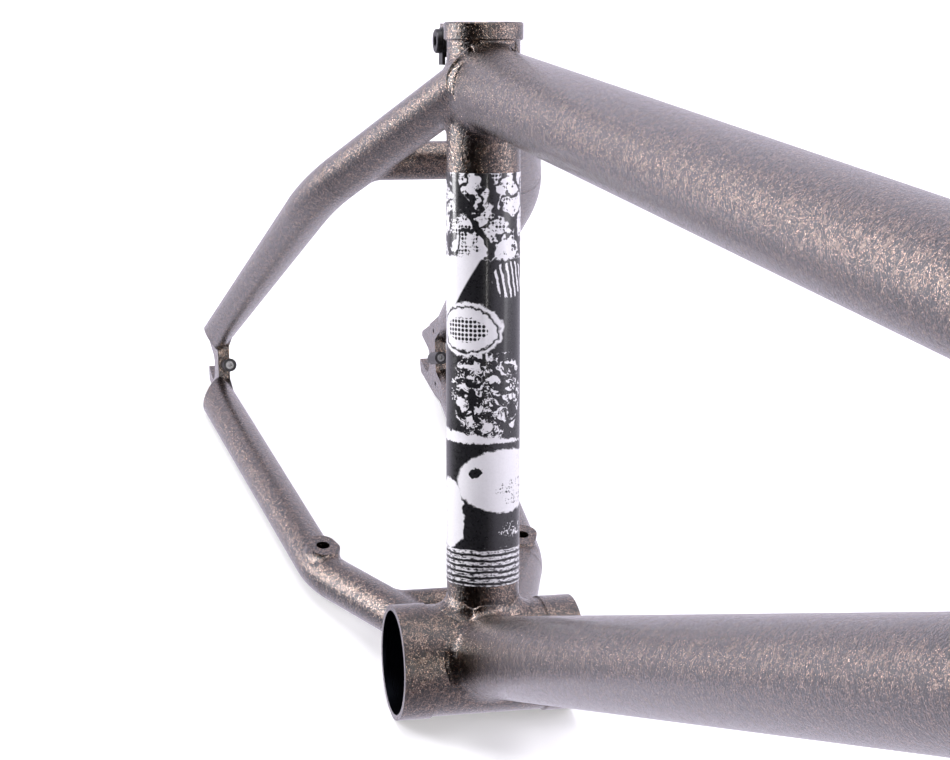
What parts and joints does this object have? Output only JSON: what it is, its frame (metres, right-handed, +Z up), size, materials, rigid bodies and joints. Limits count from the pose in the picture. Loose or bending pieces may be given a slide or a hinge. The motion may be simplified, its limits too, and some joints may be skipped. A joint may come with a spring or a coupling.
{
  "type": "bmx bicycle frame",
  "caption": "Bare BMX frame of welded round steel tubes with an integrated seat clamp, bent rear stays, slotted dropouts with screw tensioners and threaded brake pads.",
  "frame": {"origin": "centre of the bottom bracket shell, halfway along its bore", "axes": "+X forward to the head tube, +Y to the rider's left along the bottom bracket's axis, +Z up in the riding position"},
  "size_m": [0.8406, 0.1424, 0.4244],
  "materials": {
    "hammertone_paint": "copper-vein hammered powder coat, dark brown with copper flecks, semi-gloss",
    "black_steel": "black oxide on steel fasteners",
    "screw_steel": "dark plated set screw",
    "decal_film": "clear-coated printed film in black and white, abstract pattern with no lettering"
  },
  "bodies": {
    "frame": {"head_tube": "hammertone_paint", "top_tube": "hammertone_paint", "down_tube": "hammertone_paint", "seat_tube": "hammertone_paint", "seat_collar": "hammertone_paint", "clamp_ear_right": "hammertone_paint", "clamp_ear_left": "hammertone_paint", "clamp_nut": "black_steel", "bb_shell": "hammertone_paint", "seatstay_right": "hammertone_paint", "seatstay_left": "hammertone_paint", "chainstay_right": "hammertone_paint", "chainstay_left": "hammertone_paint", "seatstay_bridge": "hammertone_paint", "chainstay_bridge": "hammertone_paint", "dropout_right": "hammertone_paint", "dropout_left": "hammertone_paint", "seatstay_cap_right": "hammertone_paint", "seatstay_cap_left": "hammertone_paint", "chainstay_cap_right": "hammertone_paint", "chainstay_cap_left": "hammertone_paint", "tensioner_barrel_right": "black_steel", "tensioner_barrel_left": "black_steel", "brake_pad_right": "hammertone_paint", "brake_pad_left": "hammertone_paint", "seat_tube_decal": "decal_film"},
    "washer": {"clamp_washer": "black_steel"},
    "bolt": {"clamp_bolt": "black_steel"},
    "screw_right": {"tensioner_screw_right": "screw_steel"},
    "screw_left": {"tensioner_screw_left": "screw_steel"}
  },
  "joints": [
    {"name": "clamp_bolt_travel", "type": "slide", "parent": "frame", "child": "washer", "axis": [0, -1, 0], "range_m": [0, 0.004]},
    {"name": "clamp_bolt_turn", "type": "hinge", "parent": "washer", "child": "bolt", "pos_m": [-0.09519, 0, 0.22415], "axis": [0, -1, 0], "range_deg": [0, 1440]},
    {"name": "tensioner_right_travel", "type": "slide", "parent": "frame", "child": "screw_right", "axis": [0.891, 0, 0.454], "range_m": [-0.008, 0.002]},
    {"name": "tensioner_left_travel", "type": "slide", "parent": "frame", "child": "screw_left", "axis": [0.891, 0, 0.454], "range_m": [-0.008, 0.002]}
  ],
  "couplings": [
    {"joint": "clamp_bolt_turn", "follows": "clamp_bolt_travel", "rad_per_m": 6283.2}
  ]
}
